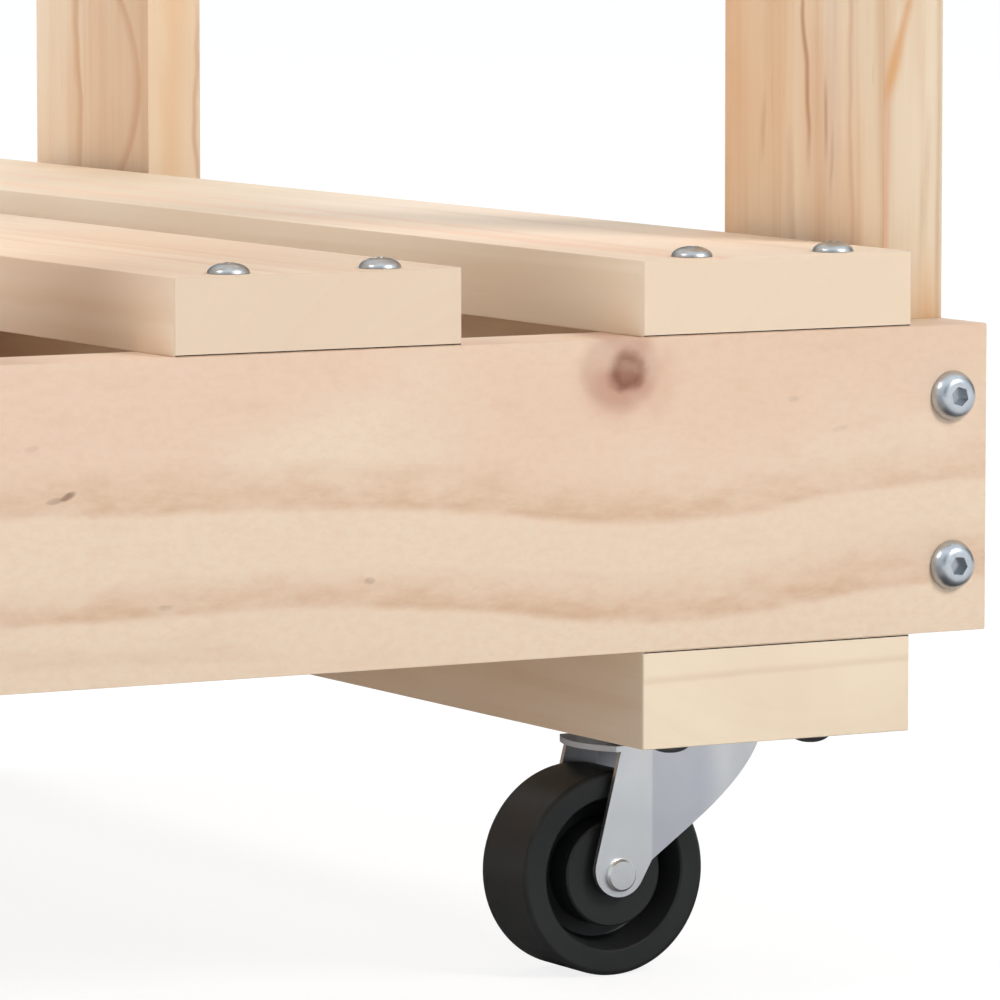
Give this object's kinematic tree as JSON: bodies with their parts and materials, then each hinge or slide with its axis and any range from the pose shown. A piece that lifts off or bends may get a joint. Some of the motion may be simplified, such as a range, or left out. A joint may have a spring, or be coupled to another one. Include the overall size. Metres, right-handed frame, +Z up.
{
  "type": "fireside log cart",
  "caption": "Tall narrow pine log rack with a slatted deck, corner posts, side rails and boards round the top, on swivel casters with black plastic wheels.",
  "frame": {"origin": "on the floor, under the middle of the cart", "axes": "+X to the right across the cart, +Y from the front to the back, +Z up"},
  "size_m": [0.343, 0.4886, 1.1],
  "materials": {
    "pine_board": "planed pine, grain along X",
    "pine_post": "planed pine, grain along Z",
    "pine_deck": "planed pine, grain along Y",
    "pine_rail": "planed pine, grain along Y",
    "zinc": "bright zinc plate",
    "fork_steel": "satin zinc plate",
    "wheel_plastic": "satin black moulded plastic"
  },
  "bodies": {
    "frame": {"front_edge_board": "pine_board", "rear_edge_board": "pine_board", "top_front_board": "pine_board", "top_rear_board": "pine_board", "post_front_left": "pine_post", "post_front_right": "pine_post", "post_rear_left": "pine_post", "post_rear_right": "pine_post", "slat_left": "pine_deck", "slat_middle": "pine_deck", "slat_right": "pine_deck", "bearer_left": "pine_deck", "bearer_right": "pine_deck", "side_board_left": "pine_rail", "side_board_right": "pine_rail", "rail_left_low": "pine_rail", "rail_left_mid": "pine_rail", "rail_left_high": "pine_rail", "rail_left_top": "pine_rail", "rail_right_low": "pine_rail", "rail_right_mid": "pine_rail", "rail_right_high": "pine_rail", "rail_right_top": "pine_rail", "slat_screws": "zinc", "bearer_screws": "zinc", "rail_screws_left": "zinc", "rail_screws_right": "zinc", "base_frame_bolts": "zinc", "top_frame_bolts": "zinc", "base_insert_nuts": "zinc", "top_insert_nuts": "zinc", "caster_plate_screws": "zinc", "caster_fl_plate": "zinc", "caster_fl_balls": "zinc", "caster_fl_kingpin": "zinc", "caster_fr_plate": "zinc", "caster_fr_balls": "zinc", "caster_fr_kingpin": "zinc", "caster_rl_plate": "zinc", "caster_rl_balls": "zinc", "caster_rl_kingpin": "zinc", "caster_rr_plate": "zinc", "caster_rr_balls": "zinc", "caster_rr_kingpin": "zinc"},
    "fork_fl": {"caster_fl_fork": "fork_steel", "caster_fl_axle": "zinc"},
    "wheel_fl": {"caster_fl_wheel": "wheel_plastic"},
    "fork_fr": {"caster_fr_fork": "fork_steel", "caster_fr_axle": "zinc"},
    "wheel_fr": {"caster_fr_wheel": "wheel_plastic"},
    "fork_rl": {"caster_rl_fork": "fork_steel", "caster_rl_axle": "zinc"},
    "wheel_rl": {"caster_rl_wheel": "wheel_plastic"},
    "fork_rr": {"caster_rr_fork": "fork_steel", "caster_rr_axle": "zinc"},
    "wheel_rr": {"caster_rr_wheel": "wheel_plastic"}
  },
  "joints": [
    {"name": "swivel_fl", "type": "hinge", "parent": "frame", "child": "fork_fl", "pos_m": [-0.116, -0.189, 0.058], "axis": [0, 0, 1], "continuous": true},
    {"name": "roll_fl", "type": "hinge", "parent": "fork_fl", "child": "wheel_fl", "pos_m": [-0.1339, -0.189, 0.0236], "axis": [0, 1, 0], "continuous": true},
    {"name": "swivel_fr", "type": "hinge", "parent": "frame", "child": "fork_fr", "pos_m": [0.116, -0.189, 0.058], "axis": [0, 0, 1], "continuous": true},
    {"name": "roll_fr", "type": "hinge", "parent": "fork_fr", "child": "wheel_fr", "pos_m": [0.0981, -0.189, 0.0236], "axis": [0, 1, 0], "continuous": true},
    {"name": "swivel_rl", "type": "hinge", "parent": "frame", "child": "fork_rl", "pos_m": [-0.116, 0.189, 0.058], "axis": [0, 0, 1], "continuous": true},
    {"name": "roll_rl", "type": "hinge", "parent": "fork_rl", "child": "wheel_rl", "pos_m": [-0.1339, 0.189, 0.0236], "axis": [0, 1, 0], "continuous": true},
    {"name": "swivel_rr", "type": "hinge", "parent": "frame", "child": "fork_rr", "pos_m": [0.116, 0.189, 0.058], "axis": [0, 0, 1], "continuous": true},
    {"name": "roll_rr", "type": "hinge", "parent": "fork_rr", "child": "wheel_rr", "pos_m": [0.0981, 0.189, 0.0236], "axis": [0, 1, 0], "continuous": true}
  ]
}
